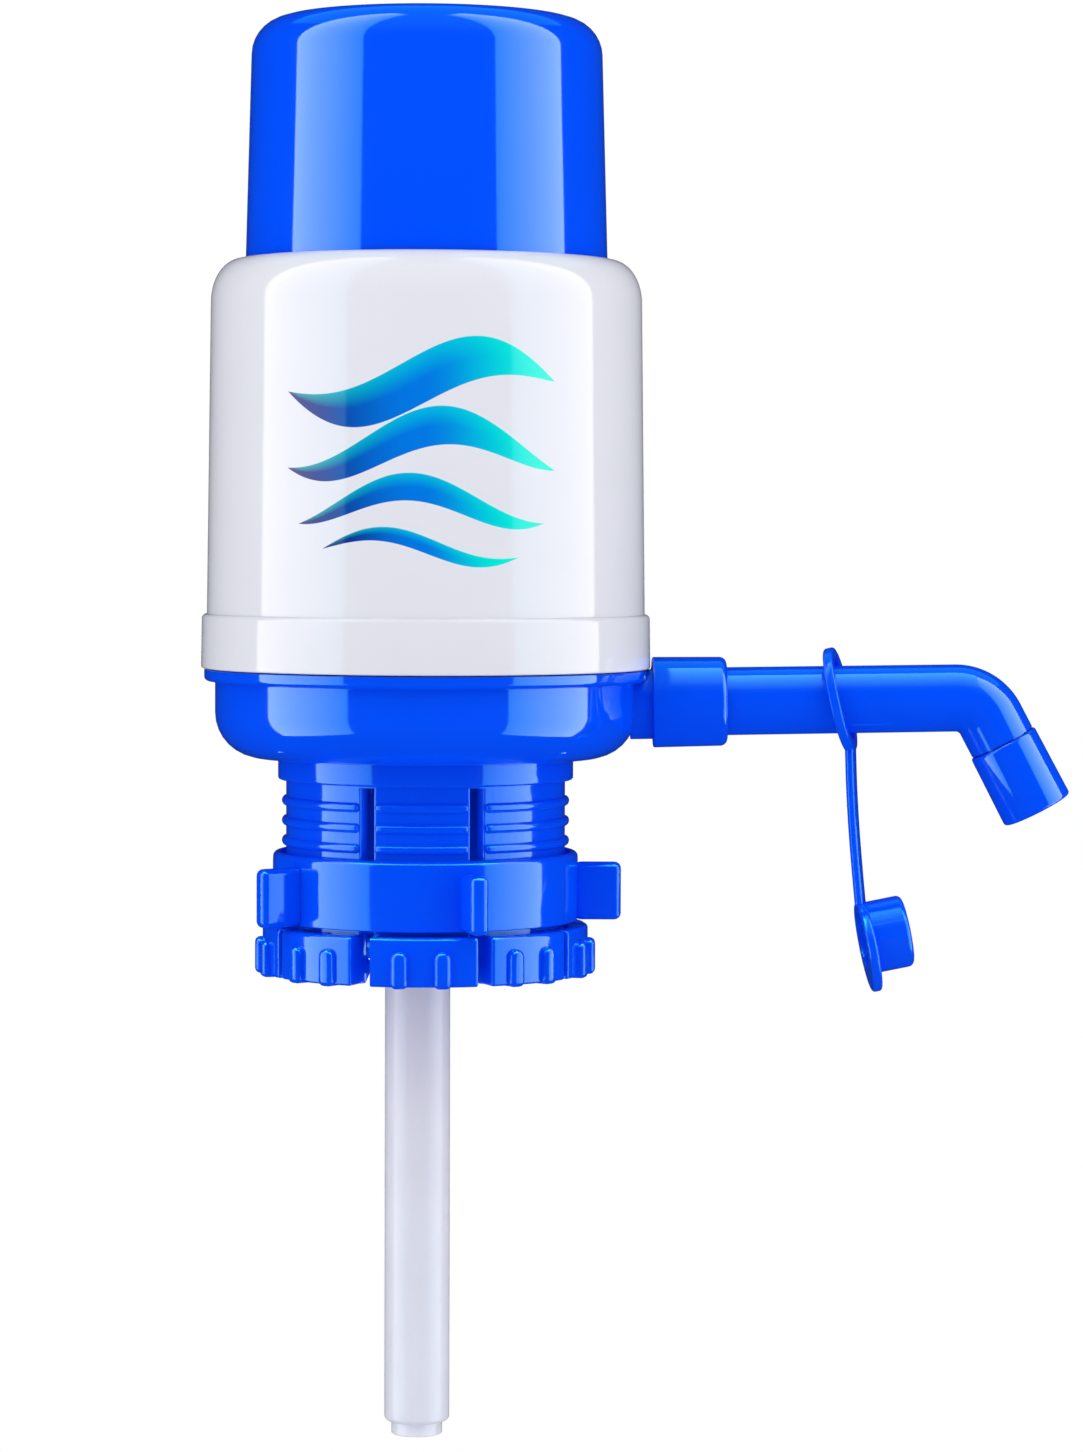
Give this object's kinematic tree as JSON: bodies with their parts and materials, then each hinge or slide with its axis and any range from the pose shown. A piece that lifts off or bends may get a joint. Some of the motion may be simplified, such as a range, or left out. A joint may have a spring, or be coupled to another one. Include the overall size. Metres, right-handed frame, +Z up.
{
  "type": "water jug hand pump",
  "caption": "Hand pump for a water jug: a sprung push cap over a housing, a swivelling spout with a hanging cap, a fingered neck collar with a winged nut, and a dip tube.",
  "frame": {"origin": "centre of the seat where the neck gasket rests on the mouth of the jug", "axes": "+Z up along the pump's axis, +X along the spout, -Y the front"},
  "size_m": [0.1934, 0.1, 0.3154],
  "materials": {
    "blue_plastic": "high gloss moulded plastic",
    "white_plastic": "gloss moulded plastic",
    "inner_plastic": "as moulded",
    "bellows_plastic": "soft milky plastic",
    "clear_plastic": "translucent tube",
    "blue_silicone": "satin silicone",
    "rubber": "matt",
    "steel": "bright"
  },
  "bodies": {
    "pump_body": {"housing_shell": "white_plastic", "base_bowl": "blue_plastic", "valve_plate": "inner_plastic", "bellows_clamp_ring": "inner_plastic", "clamp_screw_1": "steel", "clamp_screw_2": "steel", "clamp_screw_3": "steel", "clamp_screw_4": "steel", "air_bellows": "bellows_plastic", "return_spring": "steel", "neck_collar": "blue_plastic", "collar_screw_1": "steel", "collar_screw_2": "steel", "collar_screw_3": "steel", "collar_screw_4": "steel", "neck_gasket": "rubber", "dip_tube": "clear_plastic", "tube_seal": "rubber", "spout_nut": "blue_plastic", "spout_seal": "rubber"},
    "plunger": {"push_cap": "blue_plastic", "pusher_plate": "inner_plastic"},
    "intake_valve": {"intake_valve_flap": "rubber"},
    "outlet_valve": {"outlet_valve_flap": "rubber"},
    "lock_nut_body": {"lock_nut": "blue_plastic"},
    "spout": {"spout_elbow": "blue_plastic", "spout_tip": "blue_plastic"},
    "spout_cap_body": {"spout_cap": "blue_silicone"}
  },
  "joints": [
    {"name": "plunger_press", "type": "slide", "parent": "pump_body", "child": "plunger", "axis": [0, 0, -1], "range_m": [0, 0.045], "stiffness_N_per_m": 450, "springref_m": -0.02, "deforming": ["air_bellows", "return_spring"]},
    {"name": "intake_valve_lift", "type": "slide", "parent": "plunger", "child": "intake_valve", "axis": [0, 0, -1], "range_m": [0, 0.0015], "stiffness_N_per_m": 30},
    {"name": "outlet_valve_lift", "type": "slide", "parent": "pump_body", "child": "outlet_valve", "axis": [0, 0, -1], "range_m": [0, 0.0015], "stiffness_N_per_m": 30},
    {"name": "lock_nut_travel", "type": "slide", "parent": "pump_body", "child": "lock_nut_body", "axis": [0, 0, 1], "range_m": [-0.0007, 0.0157]},
    {"name": "spout_swivel", "type": "hinge", "parent": "pump_body", "child": "spout", "pos_m": [0, 0, 0.01567], "axis": [0.9998, 0, 0.0175], "continuous": true},
    {"name": "cap_swing", "type": "hinge", "parent": "spout", "child": "spout_cap_body", "pos_m": [0, 0, 0.01567], "axis": [0.9998, 0, 0.0175], "continuous": true}
  ]
}
